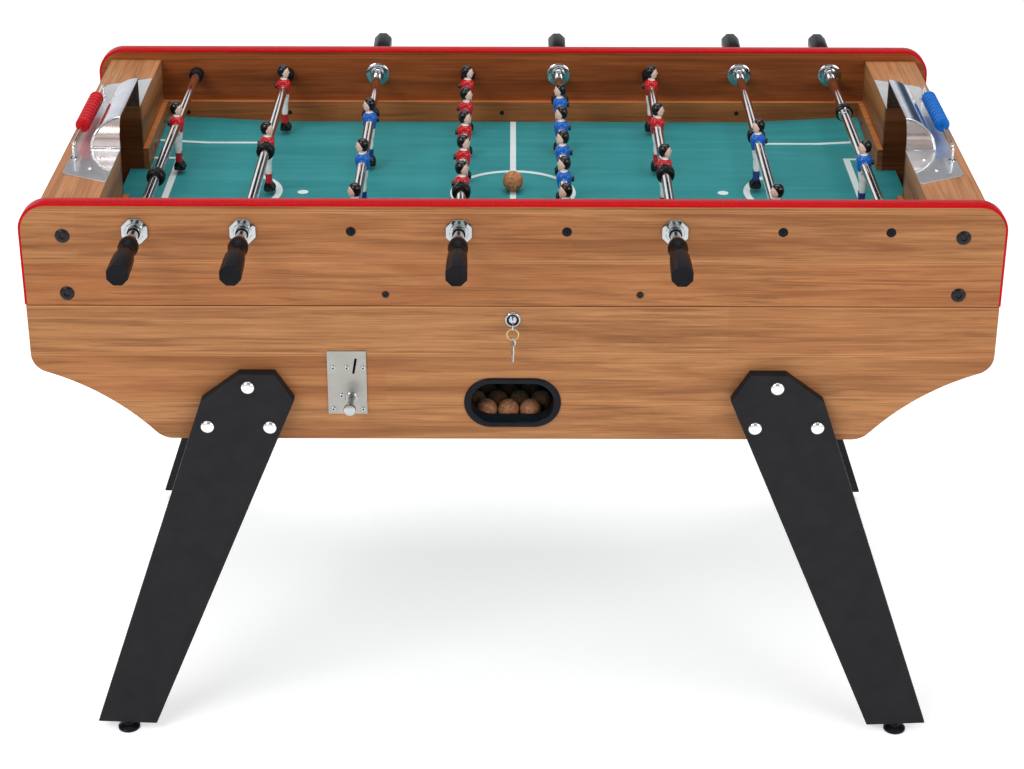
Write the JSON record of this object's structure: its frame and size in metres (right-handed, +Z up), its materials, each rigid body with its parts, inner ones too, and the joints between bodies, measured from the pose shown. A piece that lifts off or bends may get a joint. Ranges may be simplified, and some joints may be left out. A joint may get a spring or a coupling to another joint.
{
  "type": "foosball table",
  "caption": "Café foosball table with a wooden box, teal field, telescopic rods, metal goal hoods, bead scorers, a coin slot and splayed black legs.",
  "frame": {"origin": "centre of the bounding box's base, on the floor under the middle of the table", "axes": "+X goal to goal, +Y away from the side with the coin slot, +Z up"},
  "size_m": [1.476, 1.116, 0.952],
  "materials": {
    "board_wood": "lacquered",
    "dark_wood": "satin",
    "edge_trim": "gloss",
    "field": "satin",
    "leg_paint": "matte lacquer",
    "chrome": "polished",
    "sheet_steel": "brushed",
    "zinc": "plated",
    "black_plastic": "gloss",
    "black_bolt": "black plated",
    "grip_plastic": "satin",
    "red_team": "gloss",
    "blue_team": "gloss",
    "cork": "matte",
    "brass": "worn",
    "red_plastic": "gloss",
    "blue_plastic": "gloss"
  },
  "bodies": {
    "base": {"base_side_boards": "board_wood", "base_cross_boards": "board_wood", "ball_chutes": "dark_wood", "outlet_frame": "black_plastic", "stored_balls": "cork", "coin_plate": "sheet_steel", "lock_barrel": "zinc", "hinge_base_leaves": "zinc", "legs": "leg_paint", "leg_bolts": "chrome", "levelling_feet": "black_plastic"},
    "top_box": {"top_side_boards": "board_wood", "edge_trims": "edge_trim", "end_casings": "board_wood", "goal_boards": "dark_wood", "playfield": "field", "inner_rails": "dark_wood", "goal_hoods": "sheet_steel", "rod_bearings": "chrome", "rod_sockets": "black_plastic", "top_screws": "black_bolt", "hinge_top_leaves": "zinc"},
    "rod_1_turning": {"inner_rod_1": "chrome"},
    "rod_1_sliding": {"rod_tube_1": "chrome", "grip_and_buffer_1": "grip_plastic", "players_1": "red_team"},
    "rod_2_turning": {"inner_rod_2": "chrome"},
    "rod_2_sliding": {"rod_tube_2": "chrome", "grip_and_buffer_2": "grip_plastic", "players_2": "red_team"},
    "rod_3_turning": {"inner_rod_3": "chrome"},
    "rod_3_sliding": {"rod_tube_3": "chrome", "grip_and_buffer_3": "grip_plastic", "players_3": "blue_team"},
    "rod_4_turning": {"inner_rod_4": "chrome"},
    "rod_4_sliding": {"rod_tube_4": "chrome", "grip_and_buffer_4": "grip_plastic", "players_4": "red_team"},
    "rod_5_turning": {"inner_rod_5": "chrome"},
    "rod_5_sliding": {"rod_tube_5": "chrome", "grip_and_buffer_5": "grip_plastic", "players_5": "blue_team"},
    "rod_6_turning": {"inner_rod_6": "chrome"},
    "rod_6_sliding": {"rod_tube_6": "chrome", "grip_and_buffer_6": "grip_plastic", "players_6": "red_team"},
    "rod_7_turning": {"inner_rod_7": "chrome"},
    "rod_7_sliding": {"rod_tube_7": "chrome", "grip_and_buffer_7": "grip_plastic", "players_7": "blue_team"},
    "rod_8_turning": {"inner_rod_8": "chrome"},
    "rod_8_sliding": {"rod_tube_8": "chrome", "grip_and_buffer_8": "grip_plastic", "players_8": "blue_team"},
    "coin_knob": {"coin_knob": "chrome"},
    "key": {"key_and_plug": "zinc"},
    "key_ring": {"key_ring": "brass"},
    "field_ball": {"field_ball": "cork"},
    "left_beads": {"left_beads": "red_plastic"},
    "right_beads": {"right_beads": "blue_plastic"}
  },
  "joints": [
    {"name": "top_tilt", "type": "hinge", "parent": "base", "child": "top_box", "pos_m": [0, 0.3934, 0.756], "axis": [-1, 0, 0], "range_deg": [0, 50]},
    {"name": "rod_1_turn", "type": "hinge", "parent": "top_box", "child": "rod_1_turning", "pos_m": [-0.5635, 0, 0.877], "axis": [0, 1, 0], "continuous": true},
    {"name": "rod_1_slide", "type": "slide", "parent": "rod_1_turning", "child": "rod_1_sliding", "axis": [0, -1, 0], "range_m": [-0.004, 0.184]},
    {"name": "rod_2_turn", "type": "hinge", "parent": "top_box", "child": "rod_2_turning", "pos_m": [-0.4025, 0, 0.877], "axis": [0, 1, 0], "continuous": true},
    {"name": "rod_2_slide", "type": "slide", "parent": "rod_2_turning", "child": "rod_2_sliding", "axis": [0, -1, 0], "range_m": [-0.028, 0.304]},
    {"name": "rod_3_turn", "type": "hinge", "parent": "top_box", "child": "rod_3_turning", "pos_m": [-0.2415, 0, 0.877], "axis": [0, 1, 0], "continuous": true},
    {"name": "rod_3_slide", "type": "slide", "parent": "rod_3_turning", "child": "rod_3_sliding", "axis": [0, 1, 0], "range_m": [-0.028, 0.202]},
    {"name": "rod_4_turn", "type": "hinge", "parent": "top_box", "child": "rod_4_turning", "pos_m": [-0.0805, 0, 0.877], "axis": [0, 1, 0], "continuous": true},
    {"name": "rod_4_slide", "type": "slide", "parent": "rod_4_turning", "child": "rod_4_sliding", "axis": [0, -1, 0], "range_m": [-0.028, 0.122]},
    {"name": "rod_5_turn", "type": "hinge", "parent": "top_box", "child": "rod_5_turning", "pos_m": [0.0805, 0, 0.877], "axis": [0, 1, 0], "continuous": true},
    {"name": "rod_5_slide", "type": "slide", "parent": "rod_5_turning", "child": "rod_5_sliding", "axis": [0, 1, 0], "range_m": [-0.028, 0.122]},
    {"name": "rod_6_turn", "type": "hinge", "parent": "top_box", "child": "rod_6_turning", "pos_m": [0.2415, 0, 0.877], "axis": [0, 1, 0], "continuous": true},
    {"name": "rod_6_slide", "type": "slide", "parent": "rod_6_turning", "child": "rod_6_sliding", "axis": [0, -1, 0], "range_m": [-0.028, 0.202]},
    {"name": "rod_7_turn", "type": "hinge", "parent": "top_box", "child": "rod_7_turning", "pos_m": [0.4025, 0, 0.877], "axis": [0, 1, 0], "continuous": true},
    {"name": "rod_7_slide", "type": "slide", "parent": "rod_7_turning", "child": "rod_7_sliding", "axis": [0, 1, 0], "range_m": [-0.028, 0.304]},
    {"name": "rod_8_turn", "type": "hinge", "parent": "top_box", "child": "rod_8_turning", "pos_m": [0.5635, 0, 0.877], "axis": [0, 1, 0], "continuous": true},
    {"name": "rod_8_slide", "type": "slide", "parent": "rod_8_turning", "child": "rod_8_sliding", "axis": [0, 1, 0], "range_m": [-0.004, 0.184]},
    {"name": "coin_knob_push", "type": "slide", "parent": "base", "child": "coin_knob", "axis": [0, 1, 0], "range_m": [0, 0.03]},
    {"name": "key_turn", "type": "hinge", "parent": "base", "child": "key", "pos_m": [0, -0.388, 0.734], "axis": [0, 1, 0], "range_deg": [0, 90]},
    {"name": "key_ring_swing", "type": "hinge", "parent": "key", "child": "key_ring", "pos_m": [0, -0.413, 0.729], "axis": [-1, 0, 0], "range_deg": [0, 50]},
    {"name": "ball_roll", "type": "slide", "parent": "top_box", "child": "field_ball", "axis": [0, 1, 0], "range_m": [-0.3, 0.29]},
    {"name": "left_beads_slide", "type": "slide", "parent": "top_box", "child": "left_beads", "axis": [0, 1, 0], "range_m": [-0.075, 0.055]},
    {"name": "right_beads_slide", "type": "slide", "parent": "top_box", "child": "right_beads", "axis": [0, 1, 0], "range_m": [-0.087, 0.044]}
  ]
}
